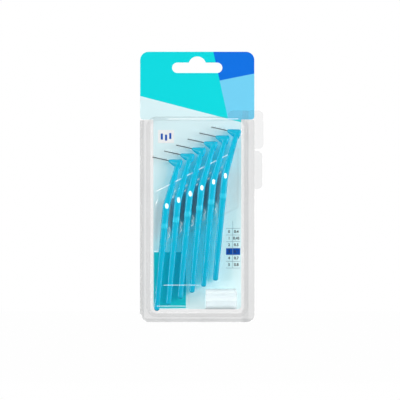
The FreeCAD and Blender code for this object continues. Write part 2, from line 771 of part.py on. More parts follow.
os.makedirs("parts", exist_ok=True)
for piece in pieces:
    piece.Shape.exportStep(f"parts/{piece.Label}.step")
    box = piece.Shape.BoundBox
    print(f"{piece.Label}: {len(piece.Shape.Solids)} solids, {piece.Shape.Volume:.2f} mm3, "
          f"X {box.XMin:.2f} to {box.XMax:.2f}, Y {box.YMin:.2f} to {box.YMax:.2f}, "
          f"Z {box.ZMin:.2f} to {box.ZMax:.2f}")
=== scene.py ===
# %% [markdown]
# # A hanging pack of angled interdental brushes
# The pack is a printed board with a hanging slot, a clear thermoformed case that slides over
# the board and opens like a book, six brushes in a slanting row, and one travel cap.
# The solids come from the frame. This lesson gives them their finishes and makes again, with
# finer surfaces, the pieces whose looks depend on soft curves: the handles, the twisted wires
# and the bristles.

# %% Load the frame
import math

import bmesh
import bpy
from mathutils import Matrix, Vector


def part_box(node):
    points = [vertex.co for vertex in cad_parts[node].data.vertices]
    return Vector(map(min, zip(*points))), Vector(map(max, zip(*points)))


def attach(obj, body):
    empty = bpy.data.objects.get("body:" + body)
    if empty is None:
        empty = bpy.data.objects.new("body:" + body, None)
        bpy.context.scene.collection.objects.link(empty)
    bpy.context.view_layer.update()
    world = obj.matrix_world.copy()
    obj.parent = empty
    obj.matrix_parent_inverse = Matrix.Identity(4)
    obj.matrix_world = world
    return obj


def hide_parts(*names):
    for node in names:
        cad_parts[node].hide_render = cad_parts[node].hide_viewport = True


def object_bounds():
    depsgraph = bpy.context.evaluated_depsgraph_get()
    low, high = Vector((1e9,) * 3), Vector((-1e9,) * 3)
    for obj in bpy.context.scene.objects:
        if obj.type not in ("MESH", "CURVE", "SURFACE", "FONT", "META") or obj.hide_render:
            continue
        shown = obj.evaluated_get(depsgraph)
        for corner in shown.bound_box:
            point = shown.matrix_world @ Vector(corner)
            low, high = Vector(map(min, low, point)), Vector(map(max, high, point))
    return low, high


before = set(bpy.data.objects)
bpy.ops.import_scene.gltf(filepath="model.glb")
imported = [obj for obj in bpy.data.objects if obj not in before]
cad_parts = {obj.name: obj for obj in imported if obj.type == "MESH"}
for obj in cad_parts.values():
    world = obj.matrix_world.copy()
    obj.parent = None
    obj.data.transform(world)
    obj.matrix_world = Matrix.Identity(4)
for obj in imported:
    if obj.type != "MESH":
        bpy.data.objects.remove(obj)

MM = 0.001
cad_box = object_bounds()

# %% [markdown]
# ## Shader sums in Python
# A material is a tree of nodes. Wiring it by hand is slow to write and hard to read, so one
# small class holds a socket and turns Python's own operators into Math nodes. Every other node
# comes from its one method, which sets the node's settings first and its sockets after.

# %% A socket that Python can calculate with


class Shade:
    """A socket of a node tree. An operator on it adds the Math node that does the sum."""

    def __init__(self, tree, socket=None):
        self.tree = tree
        self.socket = socket

    def node(self, kind, settings=None, sockets=None, output=0):
        made = self.tree.nodes.new(kind)
        for name, setting in (settings or {}).items():
            if name == "stops":
                ramp = made.color_ramp
                while len(ramp.elements) < len(setting):
                    ramp.elements.new(0.5)
                for element, (position, colour) in zip(ramp.elements, setting):
                    element.position = position
                    element.color = colour
            else:
                setattr(made, name, setting)
        for name, value in (sockets or {}).items():
            if isinstance(value, Shade):
                self.tree.links.new(value.socket, made.inputs[name])
            else:
                made.inputs[name].default_value = value
        return Shade(self.tree, made.outputs[output] if made.outputs else None)

    def sum_of(self, operation, *values):
        return self.node("ShaderNodeMath", {"operation": operation}, dict(enumerate(values)))

    def __add__(self, other):
        return self.sum_of("ADD", self, other)

    def __sub__(self, other):
        return self.sum_of("SUBTRACT", self, other)

    def __rsub__(self, other):
        return self.sum_of("SUBTRACT", other, self)

    def __mul__(self, other):
        return self.sum_of("MULTIPLY", self, other)

    def __truediv__(self, other):
        return self.sum_of("DIVIDE", self, other)

    __radd__ = __add__
    __rmul__ = __mul__

    def highest(self, other):
        return self.sum_of("MAXIMUM", self, other)

    def rise(self, start, end):
        """0 below start, 1 above end, and a smooth step between them."""
        return self.node("ShaderNodeMapRange", {"interpolation_type": "SMOOTHSTEP"},
                         {"Value": self, "From Min": start, "From Max": end})

    def between(self, low, high, soft):
        return self.rise(low - soft, low + soft) * (1 - self.rise(high - soft, high + soft))

    def mix(self, first, second):
        """Blend two colours: the first where this value is 0, the second where it is 1."""
        return self.node("ShaderNodeMix", {"data_type": "RGBA"},
                         {0: self, 6: first, 7: second}, output=2)


def paint(red, green, blue):
    """A colour as a paint chart gives it, 0 to 255, in the linear values that shaders use."""
    parts = [part / 255 for part in (red, green, blue)]
    return tuple(p / 12.92 if p <= 0.04045 else ((p + 0.055) / 1.055) ** 2.4 for p in parts) + (1.0,)


def start_material(name):
    material = bpy.data.materials.new(name)
    material.use_nodes = True
    material.node_tree.nodes.clear()
    return material, Shade(material.node_tree)


def end_material(start, shader):
    start.node("ShaderNodeOutputMaterial", sockets={"Surface": shader})


def places(start):
    """Where the surface is, in millimetres along X, Y and Z of its own object."""
    point = start.node("ShaderNodeTexCoord", output="Object")
    return [start.node("ShaderNodeSeparateXYZ", sockets={0: point}, output=axis) * 1000 for axis in "XYZ"]


def grain(start, scale, detail=3.0):
    """Even fine noise over the object, about 0.5."""
    point = start.node("ShaderNodeTexCoord", output="Object")
    return start.node("ShaderNodeTexNoise", sockets={"Vector": point, "Scale": scale, "Detail": detail})


def film(start, tint):
    return start.node("ShaderNodeBsdfTransparent", sockets={"Color": tint})


def lit_through(start, shader, clear):
    """The shader as it is seen, but lamps shine through the piece as through the clear film."""
    lamp_ray = start.node("ShaderNodeLightPath", output="Is Shadow Ray")
    return start.node("ShaderNodeMixShader", sockets={0: lamp_ray, 1: shader, 2: clear})


def relief(start, height, strength, distance):
    return start.node("ShaderNodeBump", sockets={"Height": height, "Strength": strength,
                                                 "Distance": distance})


print("shader helper ready")

# %% [markdown]
# ## The printed board
# The board is white carton, printed on its front. Printing could be an image, but flat areas
# with straight edges are cheap to write as sums on the surface's place, and stay sharp at any
# size. Two slanting bands cross the head of the board. The tongue behind the brushes is a pale
# mint that goes lighter towards the bottom: painted light that makes up for the shade that the
# tray and the handles cast on the lower board.

# %% Inks and the layout of the print, in millimetres from the hanging slot
TURQUOISE = paint(0, 214, 220)
ROYAL_BLUE = paint(0, 110, 222)
SKY_BLUE = paint(112, 205, 239)
PALE_MINT = paint(214, 238, 242)
# Painted light: the low mint is paler than the high one, against the shade of the tray and handles.
MINT_LIGHTENED_LOW = paint(230, 251, 252)
BLOCK_BLUE = paint(0, 206, 214)
ROW_BLUE = paint(0, 79, 175)
RULE_GREY = paint(140, 160, 170)
BOARD_WHITE = paint(236, 238, 238)

INK_EDGE = 0.12
PRINTED_FACE = (0.12, 0.2)
BAND_FOOT = -27.5
BAND_SLOPE = -0.26
BLUE_LEFT = 12.5
BLUE_LEAN = 0.22
BLUE_FOOT = -33.1
SKY_TOP = -11.0
SKY_SLOPE = 0.2
BLOCK = (-27.6, -7.2, -153.2, -117.5)
TABLE = (18.3, 27.4, -127.7, -102.4)
TABLE_ROWS = 6
RULE_HALF = 0.12
MARKED_ROW = 3
STREAK = (12.0, 20.2, -145.4, -144.3)
TABLE_MIDDLE = 22.6
TABLE_HEAD = -97.7
BADGE = (-25.0, -14.8, -48.0, -39.7)
BAR_HALF = 0.7
BADGE_BARS = ((-22.6, -45.8, -41.9), (-19.9, -46.4, -42.6), (-17.2, -45.4, -41.6))

board, start = start_material("printed_board")
x, y, z = places(start)


def box_of(edges):
    left, right, bottom, top = edges
    return x.between(left, right, INK_EDGE) * z.between(bottom, top, INK_EDGE)


head_band = (z - x * BAND_SLOPE).rise(BAND_FOOT - INK_EDGE, BAND_FOOT + INK_EDGE)
blue_band = (x + z * BLUE_LEAN).rise(BLUE_LEFT - INK_EDGE, BLUE_LEFT + INK_EDGE)
blue_band = blue_band * z.rise(BLUE_FOOT - 0.1, BLUE_FOOT + 0.1)
sky_part = 1 - (z - x * SKY_SLOPE).rise(SKY_TOP - INK_EDGE, SKY_TOP + INK_EDGE)
# The tongue's mint goes lighter towards the bottom: painted light against the shade there.
mint = z.rise(-110, -35).mix(MINT_LIGHTENED_LOW, PALE_MINT)
ink = head_band.mix(mint, TURQUOISE)
ink = blue_band.mix(ink, sky_part.mix(ROYAL_BLUE, SKY_BLUE))
ink = box_of(BLOCK).mix(ink, BLOCK_BLUE)
ink = box_of(STREAK).mix(ink, BLOCK_BLUE)
row_height = (TABLE[3] - TABLE[2]) / TABLE_ROWS
marked_top = TABLE[3] - MARKED_ROW * row_height
ink = box_of((TABLE[0], TABLE[1], marked_top - row_height, marked_top)).mix(ink, ROW_BLUE)
rules = None
for row in range(TABLE_ROWS + 1):
    level = TABLE[3] - row * row_height
    rule = box_of((TABLE[0], TABLE[1], level - RULE_HALF, level + RULE_HALF))
    rules = rule if rules is None else rules.highest(rule)
upright = (TABLE_MIDDLE - RULE_HALF, TABLE_MIDDLE + RULE_HALF, TABLE[2], TABLE_HEAD)
rules = rules.highest(box_of(upright))
ink = rules.mix(ink, RULE_GREY)
ink = box_of(BADGE).mix(ink, BOARD_WHITE)
for middle, bottom, top in BADGE_BARS:
    ink = box_of((middle - BAR_HALF, middle + BAR_HALF, bottom, top)).mix(ink, ROW_BLUE)
front_only = 1 - y.rise(*PRINTED_FACE)
fibre = grain(start, 900)
colour = front_only.mix(BOARD_WHITE, ink)
colour = (fibre * 0.03).mix(colour, paint(120, 135, 145))
rough = 0.34 + fibre * 0.12
end_material(start, start.node("ShaderNodeBsdfPrincipled", sockets={
    "Base Color": colour, "Roughness": rough, "Specular IOR Level": 0.15,
    "Normal": relief(start, fibre, 0.08, 0.0002)}))
print("board inks in", len(board.node_tree.nodes), "nodes")

# %% [markdown]
# ## The clear sheet
# The case is pressed from thin clear plastic. Real refraction through a solid this thin only
# adds noise, so the sheet is a thin veil: mostly see-through where it is seen square on, denser
# where it is seen along its surface, with a sharp gloss on top. The flange, the hinge, the foot
# and the right wall get extra cover by place: painted shade that greys them as refraction would.
# Lamps shine through it almost undimmed, or the board behind it would lie in a shadow that clear
# plastic doesn't cast.

# %% Clear plastic for the case and the cap
FLANGE_FACE = (-1.2, -0.7)
HINGE_EDGE, FOOT_EDGE = (-34.6, -33.4), (-160.4, -159.4)
RIGHT_WALL, WALL_SHARE = (28.8, 32.6), 0.6
BAND_SOFT, HIGHLIGHT_BAND_COVER = 0.4, 0.3


def clear_plastic(name, tint, least, most, roughness, flange_shade=0.0, edge=0.0, bands=(),
                  glint=0.0, passed=0.98):
    """Cover is least on a surface seen square on and most on one seen along it. The flange share adds
    to the flat flange, and edge to the hinge, the foot and the right wall: painted shade that greys
    the sheet there. Each band adds to a stretch of height: a painted highlight on a pale plastic.
    Glint is a painted glow of its own that stands in for a highlight, and passed the share of lamp
    light let through."""
    material, start = start_material(name)
    x, y, z = places(start)
    waves = grain(start, 60, 2.0)
    bump = relief(start, waves, 0.12, 0.002)
    facing = start.node("ShaderNodeLayerWeight", sockets={"Blend": 0.5}, output="Facing")
    # Painted shade: extra cover by place greys the flange, the hinge, the foot and the right wall.
    cover = least + facing * facing * (most - least) + y.rise(*FLANGE_FACE) * flange_shade
    cover = cover + (1 - x.rise(*HINGE_EDGE) * z.rise(*FOOT_EDGE)) * edge
    cover = cover + x.between(*RIGHT_WALL, BAND_SOFT) * (edge * WALL_SHARE)
    # Painted highlight: each band adds cover, which pales a stretch of height on a pale plastic.
    for low, high in bands:
        cover = cover + z.between(low, high, BAND_SOFT) * HIGHLIGHT_BAND_COVER
    cloud = (waves * 0.3).mix(tint, paint(250, 252, 253))
    plastic = start.node("ShaderNodeBsdfPrincipled", sockets={
        "Base Color": cloud, "Roughness": roughness, "Coat Weight": 0.4, "Normal": bump,
        "Emission Color": (1, 1, 1, 1), "Emission Strength": glint})
    veil = start.node("ShaderNodeMixShader", sockets={0: cover, 1: film(start, (1, 1, 1, 1)), 2: plastic})
    end_material(start, lit_through(start, veil, film(start, (passed, passed, passed, 1))))
    return material


sheet = clear_plastic("clear_sheet", paint(90, 94, 98), 0.008, 0.23, 0.1, flange_shade=0.06, edge=0.1)
back_sheet = clear_plastic("back_sheet", paint(110, 113, 117), 0.1, 0.25, 0.15)
# Painted highlights: whiter bands across the cap where its round faces would catch the light.
CAP_HIGHLIGHT_BANDS = ((-143.6, -142.3), (-148.1, -145.5), (-153.6, -152.8))
cap_plastic = clear_plastic("cap_plastic", paint(240, 252, 255), 0.55, 0.75, 0.3, bands=CAP_HIGHLIGHT_BANDS,
                            passed=0.85)
# Painted highlight: this plastic glows on its own so that the creases show as bright glints.
painted_glint = clear_plastic("painted_glint", paint(252, 253, 254), 0.5, 0.55, 0.15, glint=0.6)
print("clear plastics ready")

# %% [markdown]
# ## Steel and nylon
# The wires are drawn steel and the bristles thin nylon. Both are far smaller than a dot of the
# picture, so their noise is very fine, and the nylon is left half clear.

# %% The steel of the wires and the nylon of the bristles
wire_steel, start = start_material("wire_steel")
drawn = grain(start, 2500)
end_material(start, start.node("ShaderNodeBsdfPrincipled", sockets={
    "Base Color": drawn.mix(paint(6, 30, 46), paint(22, 48, 64)), "Metallic": 0.15,
    "Roughness": 0.4 + drawn * 0.2, "Specular IOR Level": 0.2}))

nylon, start = start_material("nylon")
bundle = grain(start, 1800)
end_material(start, start.node("ShaderNodeBsdfPrincipled", sockets={
    "Base Color": bundle.mix(paint(226, 240, 243), paint(250, 252, 252)), "Roughness": 0.35,
    "Alpha": 0.12}))
print("brush materials ready")

# %% [markdown]
# ## One handle, used six times
# The handle is a straight grip, a bend and a leaning neck that ends in a cone-shaped head. A
# box model would show hard facets, so the limb is lofted: rings with rounded corners are set
# along a bent centre line and joined by faces. The head is turned on the axis of its wire, and
# the two are joined into one closed skin.

# %% Rings joined into a skin


def skin_mesh(name, rings):
    """Join rings of points, one after the other, into a closed mesh with capped ends."""
    shape = bmesh.new()
    rows = [[shape.verts.new(Vector(point) * MM) for point in ring] for ring in rings]
    for near, far in zip(rows, rows[1:]):
        for i in range(len(near)):
            j = (i + 1) % len(near)
            shape.faces.new((near[i], near[j], far[j], far[i]))
    shape.faces.new(list(reversed(rows[0])))
    shape.faces.new(rows[-1])
    bmesh.ops.recalc_face_normals(shape, faces=shape.faces)
    mesh = bpy.data.meshes.new(name)
    shape.to_mesh(mesh)
    shape.free()
    return mesh


def rounded_ring(centre, across, half_width, half_depth, squareness=4.0, count=28):
    """A ring like a rounded rectangle, with one axis across the limb and one along Y."""
    ring = []
    for step in range(count):
        angle = math.tau * (step + 0.5) / count
        side = math.copysign(abs(math.cos(angle)) ** (2 / squareness), math.cos(angle))
        depth = math.copysign(abs(math.sin(angle)) ** (2 / squareness), math.sin(angle))
        ring.append(centre + across * half_width * side + Vector((0, half_depth * depth, 0)))
    return ring


# %% Sizes of the handle in millimetres, from its bend
GRIP_LENGTH, GRIP_LEAN = 66.9, math.radians(5.2)
NECK_LENGTH, NECK_LEAN = 28.5, math.radians(15.7)
TIP_HALF, BEND_HALF, NECK_HALF = 1.7, 2.25, 1.55
HALF_DEPTH = 2.9
BEND_REACH = 2.4
TIP_ROUND = 1.4
grip_way = Vector((math.sin(GRIP_LEAN), 0, math.cos(GRIP_LEAN)))
neck_way = Vector((math.sin(NECK_LEAN), 0, math.cos(NECK_LEAN)))


def limb_point(along):
    """A point of the centre line, which turns smoothly from the grip into the neck."""
    if along <= -BEND_REACH:
        return grip_way * along
    if along >= BEND_REACH:
        return neck_way * along
    turn = (along + BEND_REACH) / (2 * BEND_REACH)
    return grip_way * (-BEND_REACH * (1 - turn) ** 2) + neck_way * (BEND_REACH * turn ** 2)


def limb_half(along):
    if along < 0:
        return BEND_HALF + (TIP_HALF - BEND_HALF) * -along / GRIP_LENGTH
    return BEND_HALF + (NECK_HALF - BEND_HALF) * along / NECK_LENGTH


COLLAR_TOP, COLLAR_FOOT, COLLAR_RAMP, COLLAR_PROUD = -11.2, -14.4, 0.35, 0.14


def collar(along):
    """How far the moulded collar below the bend stands proud."""
    inside = min(COLLAR_TOP - along, along - COLLAR_FOOT) / COLLAR_RAMP
    return COLLAR_PROUD * min(1.0, max(0.0, inside))


stations = [-GRIP_LENGTH + TIP_ROUND * (1 - math.cos(math.radians(a))) for a in (0, 25, 50, 70, 90)]
stations += [-GRIP_LENGTH + 2 + 3.4 * step for step in range(19)]
stations += [BEND_REACH * (step / 4 - 1) for step in range(9)] + [6 + 2.9 * step for step in range(8)]
stations += [COLLAR_TOP, COLLAR_TOP - COLLAR_RAMP, COLLAR_FOOT + COLLAR_RAMP, COLLAR_FOOT]
stations = sorted(set(round(s, 4) for s in stations if s <= NECK_LENGTH)) + [NECK_LENGTH]
rings = []
for along in stations:
    way = limb_point(along + 0.05) - limb_point(along - 0.05)
    across = Vector((way.z, 0, -way.x)).normalized()
    short = max(0.0, 1 - (along + GRIP_LENGTH) / TIP_ROUND)
    pull = TIP_ROUND * (1 - math.sqrt(1 - short * short))
    grown = collar(along) - pull
    rings.append(rounded_ring(limb_point(along), across, limb_half(along) + grown, HALF_DEPTH + grown))
limb = skin_mesh("handle_limb", rings)
print("limb:", len(limb.vertices), "points")

# %% The head, turned on the axis of its wire
WIRE_EXIT = Vector((1.56, 0, 28.79))
WIRE_LEAN = math.radians(12.4)
HEAD_LEAN = math.radians(19.0)
HEAD_PROFILE = [(0.0, 0.5), (0.1, 0.72), (0.35, 0.92), (1.5, 1.4), (3.0, 1.95), (4.5, 2.48), (6.0, 2.98),
                (7.0, 3.25), (7.6, 3.28), (8.1, 3.05), (8.5, 2.55), (8.72, 1.9), (8.8, 1.0)]


def out_and_up(lean):
    """The way out along a leaning axis, and the way up across it."""
    return (Vector((-math.cos(lean), 0, math.sin(lean))), Vector((math.sin(lean), 0, math.cos(lean))))


wire_way, wire_up = out_and_up(WIRE_LEAN)
head_way, head_up = out_and_up(HEAD_LEAN)


def round_ring(centre, radius, up, count=28):
    ring = []
    for step in range(count):
        angle = math.tau * step / count
        ring.append(centre + up * radius * math.cos(angle) + Vector((0, radius * math.sin(angle), 0)))
    return ring


head = skin_mesh("handle_head", [round_ring(WIRE_EXIT - head_way * u, r, head_up) for u, r in HEAD_PROFILE])

# %% The polished oval facet beside the bend, where the finger finds the turn
FACET_MIDDLE = Vector((0.5, 0, 0.1))
FACET_HALF = (1.15, 1.72)
FACET_TURN, FACET_TIP = math.radians(16), math.radians(-5)
FACET_FRONT = -HALF_DEPTH - 1.0


def facet_floor(side, up):
    """How deep the facet's floor lies, starting flush with the front at its left edge."""
    return -HALF_DEPTH + (side + FACET_HALF[0]) * math.tan(FACET_TURN) - up * math.tan(FACET_TIP)


front_ring, floor_ring = [], []
for step in range(32):
    angle = math.tau * step / 32
    side, up = FACET_HALF[0] * math.cos(angle), FACET_HALF[1] * math.sin(angle)
    front_ring.append(FACET_MIDDLE + Vector((side, FACET_FRONT, up)))
    floor_ring.append(FACET_MIDDLE + Vector((side, facet_floor(side, up), up)))
facet_cut = skin_mesh("facet_cut", [front_ring, floor_ring])


def carve(name, first, steps):
    """Unite closed meshes with the first one, or cut them out of it, into one skin."""
    pieces = [bpy.data.objects.new(f"{name}_{i}", mesh)
              for i, mesh in enumerate([first] + [mesh for operation, mesh in steps])]
    for piece in pieces:
        bpy.context.collection.objects.link(piece)
    for (operation, mesh), piece in zip(steps, pieces[1:]):
        change = pieces[0].modifiers.new(operation, "BOOLEAN")
        change.operation = operation
        change.object = piece
    result = bpy.data.meshes.new_from_object(
        pieces[0].evaluated_get(bpy.context.evaluated_depsgraph_get()))
    for piece in pieces:
        bpy.data.objects.remove(piece)
    result.name = name
    return result


def soften(mesh, degrees=32):
    mesh.polygons.foreach_set("use_smooth", [True] * len(mesh.polygons))
    mesh.set_sharp_from_angle(angle=math.radians(degrees))
    return mesh


# %% [markdown]
# ## The turquoise plastic
# The handles are injection moulded in one colour. Fine noise in the roughness and the relief
# keeps the plastic from looking like a flat fill. The lower grip is a little deeper in tone. The
# collar is paler, a painted highlight where its step catches the light, and the facet is polished
# like the inside of the mould, its colour paled as a painted highlight. The plastic is translucent,
# so lamp light passes through it in its own colour and tints the gaps, least where the bend is thick.

# %% Handle plastic, on places measured from the bend
GLOW_TINT = (0.0, 0.66, 0.7, 1.0)
DEEP_TINT = (0.0, 0.04, 0.06, 1.0)
handle_plastic, start = start_material("handle_plastic")
x, y, z = places(start)
skin = grain(start, 350)
tone = z.rise(-66, 6).mix(paint(0, 178, 212), paint(0, 190, 224))
tone = (skin * 0.12).mix(tone, paint(10, 200, 230))
# Painted highlight: the collar's step is made paler where it would catch the light.
collar_highlight = z.between(COLLAR_FOOT, COLLAR_TOP, 0.3)
tone = (collar_highlight * 0.5).mix(tone, paint(60, 220, 245))
facet_x = (x - FACET_MIDDLE.x) / FACET_HALF[0]
facet_z = (z - FACET_MIDDLE.z) / FACET_HALF[1]
# The facet is polished for real, with a coat and low roughness; its colour is also paled towards white, a
# painted highlight.
polish_and_highlight = (1 - (facet_x * facet_x + facet_z * facet_z).rise(0.9, 1.1)) * (1 - y.rise(-1.8, -1.6))
rough = (0.15 + skin * 0.08) * (1 - polish_and_highlight * 0.7)
plastic = start.node("ShaderNodeBsdfPrincipled", sockets={
    "Base Color": (polish_and_highlight * 0.5).mix(tone, paint(200, 240, 250)), "Roughness": rough,
    "Specular IOR Level": 0.35, "Coat Weight": polish_and_highlight, "Coat Roughness": 0.05,
    "Normal": relief(start, skin * (1 - polish_and_highlight), 0.06, 0.0004)})
thick_bend = z.between(-16, 3, 4)
glow = start.node("ShaderNodeMixShader", sockets={
    0: thick_bend, 1: film(start, GLOW_TINT), 2: film(start, DEEP_TINT)})
end_material(start, lit_through(start, plastic, glow))

# %% Carve the handle from its three bodies
handle_mesh = soften(carve("handle_skin", limb, [("UNION", head), ("DIFFERENCE", facet_cut)]))
facet_way = Vector((math.tan(FACET_TURN), -1, -math.tan(FACET_TIP))).normalized()
rims = set()
for face in handle_mesh.polygons:
    if face.normal.dot(facet_way) > 0.9995:
        rims.update(face.edge_keys)
for edge in handle_mesh.edges:
    if edge.key in rims:
        edge.use_edge_sharp = True
print("facet edges kept crisp:", len(rims))
handle_mesh.materials.append(handle_plastic)
print("handle:", len(handle_mesh.polygons), "faces")

# %% [markdown]
# ## Twisted wires and bristles
# The bristles are held by a pair of steel wires twisted together. Two tubes wound round each
# other show that twist in a close view. Each bristle is one nylon filament caught between the
# wires, so it crosses the axis and turns with the twist.

# %% Two wound strands
WIRE_ANCHOR, WIRE_FREE = 3.0, 10.6
STRAND_RADIUS, STRAND_OFFSET, TWIST_PITCH = 0.18, 0.16, 2.4


def strand(phase):
    rings = []
    steps = 90
    for step in range(steps + 1):
        along = -WIRE_ANCHOR + (WIRE_FREE + WIRE_ANCHOR) * step / steps
        turn = math.tau * along / TWIST_PITCH + phase
        offset = wire_up * math.cos(turn) + Vector((0, math.sin(turn), 0))
        centre = WIRE_EXIT + wire_way * along + offset * STRAND_OFFSET
        rings.append(round_ring(centre, STRAND_RADIUS, wire_up, 8))
    return skin_mesh("wire_strand", rings)


def gather(name, meshes):
    """Put separate closed meshes into one mesh."""
    shape = bmesh.new()
    for mesh in meshes:
        shape.from_mesh(mesh)
    result = bpy.data.meshes.new(name)
    shape.to_mesh(result)
    shape.free()
    return result


wire_mesh = soften(gather("wire_skin", [strand(0), strand(math.pi)]), 60)
wire_mesh.materials.append(wire_steel)

# %% Filaments that follow the twist
BRISTLE_START, BRISTLE_END, BRISTLE_RADIUS = 1.2, 10.2, 1.58
FILAMENTS = 150
FILAMENT_THICK = 0.025


def filament(index):
    share = index / (FILAMENTS - 1)
    along = BRISTLE_START + (BRISTLE_END - BRISTLE_START) * share
    turn = math.tau * along / TWIST_PITCH + math.pi / 2
    out = wire_up * math.cos(turn) + Vector((0, math.sin(turn), 0))
    side = wire_way.cross(out)
    reach = BRISTLE_RADIUS * (0.9 + 0.1 * math.sin(index * 2.4))
    rings = []
    for end in (-reach, reach):
        centre = WIRE_EXIT + wire_way * (along + 0.12 * math.sin(index * 1.7)) + out * end
        rings.append([centre + wire_way * FILAMENT_THICK, centre - wire_way * FILAMENT_THICK * 0.5
                      + side * FILAMENT_THICK * 0.87,
                      centre - wire_way * FILAMENT_THICK * 0.5 - side * FILAMENT_THICK * 0.87])
    return skin_mesh("filament", rings)


bristle_mesh = gather("bristle_skin", [filament(i) for i in range(FILAMENTS)])
bristle_mesh.materials.append(nylon)
print("wire and bristles:", len(wire_mesh.polygons), len(bristle_mesh.polygons), "faces")

# %% Set the six brushes in their row
BEND_FROM_LEFT, BEND_FROM_FOOT = 7.666, 66.72


def place_piece(name, mesh, node, body, spot):
    piece = bpy.data.objects.new(name, mesh)
    bpy.context.collection.objects.link(piece)
    piece.location = spot
    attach(piece, body)
    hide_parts(node)
    return piece


for number in range(1, 7):
    low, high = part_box(f"handle_{number}")
    bend = Vector((low[0] + BEND_FROM_LEFT * MM, (low[1] + high[1]) / 2, low[2] + BEND_FROM_FOOT * MM))
    place_piece(f"brush_handle_{number}", handle_mesh, f"handle_{number}", "tray", bend)
    place_piece(f"brush_wire_{number}", wire_mesh, f"wire_{number}", "tray", bend)
    place_piece(f"brush_bristles_{number}", bristle_mesh, f"bristles_{number}", "tray", bend)
print("six brushes set; last bend at", [round(v * 1000, 2) for v in bend])

# %% [markdown]
# ## Painted glints on the creases in the sheet
# Where the mould turns, the sheet catches the light in thin bright lines, and small ridges wink
# in the gaps between the handles. These glints are painted: each line is a thin glowing bead that
# follows its crease where a glint shows, because a bump on the flat face could not stand out at
# this size. A ray cast from the front finds the sheet's own surface, so that every bead lies in
# the sheet from whichever side it is seen.

# %% Glint beads along the creases
tray_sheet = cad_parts["front_tray"]


def on_sheet(x, z, radius):
    """A bead's middle, just inside the case's front surface where it is seen at X and Z."""
    hit, point, normal, face = tray_sheet.ray_cast(Vector((x, -100, z)) * MM, Vector((0, 1, 0)))
    return Vector((x, point.y / MM + radius, z))


def glint_bead(name, places, radius=0.12):
    """A thin glowing rod in the sheet, a painted highlight, through places of the front view, each with X
    and Z in millimetres.
    """
    points = [on_sheet(x, z, radius) for x, z in places]
    rings = []
    for i, point in enumerate(points):
        way = points[min(i + 1, len(points) - 1)] - points[max(i - 1, 0)]
        up = Vector((-way.z, 0, way.x)).normalized()
        rings.append(round_ring(point, radius, up, 8))
    mesh = soften(skin_mesh(name, rings), 60)
    mesh.materials.append(painted_glint)
    piece = bpy.data.objects.new(name, mesh)
    bpy.context.collection.objects.link(piece)
    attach(piece, "tray")
    print(name, "at depth", [round(point.y, 2) for point in points])


def line(first, last, count=5):
    """Places spread evenly from the first to the last."""
    steps = [step / (count - 1) for step in range(count)]
    return [(first[0] + (last[0] - first[0]) * s, first[1] + (last[1] - first[1]) * s) for s in steps]


STEP = Vector((7.45, 0, 3.82))
FIRST_BEND = Vector((-19.73, 0, -88.13))
CREASE_ABOVE = 12.5
CREASE_RADIUS = 0.15
# The crease glints are painted only where the gaps between the handles leave the crease in the light.
CREASE_SPANS = [("left", -0.84, 0.3)] + [(str(gap + 1), gap + 0.77, gap + 1.25) for gap in range(5)]
for part, near, far in CREASE_SPANS:
    ends = [FIRST_BEND + STEP * steps for steps in (near, far)]
    glint_bead(f"crease_{part}", line(*[(end.x, end.z + CREASE_ABOVE) for end in ends]), CREASE_RADIUS)
glint_bead("crease_top", line((-18.6, -32.8), (26.0, -32.8)), CREASE_RADIUS)
glint_bead("crease_low", line((-21.2, -138.2), (1.8, -138.2)))
glint_bead("crease_foot", line((-25.6, -151.5), (-7.2, -151.5)))
glint_bead("crease_bend", line((-26.6, -87.6), (-25.0, -83.9)), CREASE_RADIUS)
glint_bead("crease_block", line((-27.2, -117.0), (-25.2, -117.0)), CREASE_RADIUS)

# %% Painted glints on the small ridges between the handles
ZIGZAG_FOOT, ZIGZAG_TOP, ZIGZAG_CORNERS = -22.6, -15.6, 5
ZIGZAG_HALF, ZIGZAG_RADIUS = 0.6, 0.1
DASHES = (4.2, 7.7)
DASH_HALF, DASH_SLANT, DASH_LEFT, DASH_RADIUS = 0.5, 0.4, 0.3, 0.14
for gap in range(5):
    middle = FIRST_BEND + STEP * (gap + 0.5)
    across = Vector((grip_way.z, 0, -grip_way.x)) * ZIGZAG_HALF
    turns = []
    for corner in range(ZIGZAG_CORNERS):
        along = ZIGZAG_FOOT + (ZIGZAG_TOP - ZIGZAG_FOOT) * corner / (ZIGZAG_CORNERS - 1)
        point = middle + grip_way * along + across * (1 if corner % 2 else -1)
        turns.append((point.x, point.z))
    glint_bead(f"ridge_grip_{gap + 1}", turns, ZIGZAG_RADIUS)
    for number, along in enumerate(DASHES, 1):
        ends = []
        for side in (-1, 1):
            point = middle + neck_way * (along + side * DASH_HALF)
            ends.append((point.x - DASH_LEFT + side * DASH_SLANT, point.z))
        glint_bead(f"ridge_neck_{gap + 1}_{number}", ends, DASH_RADIUS)
print("creases laid in the sheet")

# %% [markdown]
# ## The size table's numbers
# Numbers in a size table are print as well, but figures are hard to write as sums. Each one is
# a very thin solid set on the face of the board, like a raised ink.

# %% Numbers on the board
SIZE_ROWS = (("0", "0.4"), ("1", "0.45"), ("2", "0.5"), ("3", "0.6"), ("4", "0.7"), ("5", "0.8"))
FIGURE_SIZE = 2.4
FIGURE_THICK = 0.02
FIGURE_BOLD = 0.07
FIGURE_FACE = 0.08
FIRST_COLUMN, SECOND_COLUMN = 20.3, 24.9
black_ink, start = start_material("black_ink")
end_material(start, start.node("ShaderNodeBsdfPrincipled", sockets={
    "Base Color": grain(start, 900).mix(paint(14, 22, 30), paint(30, 38, 46)), "Roughness": 0.5}))


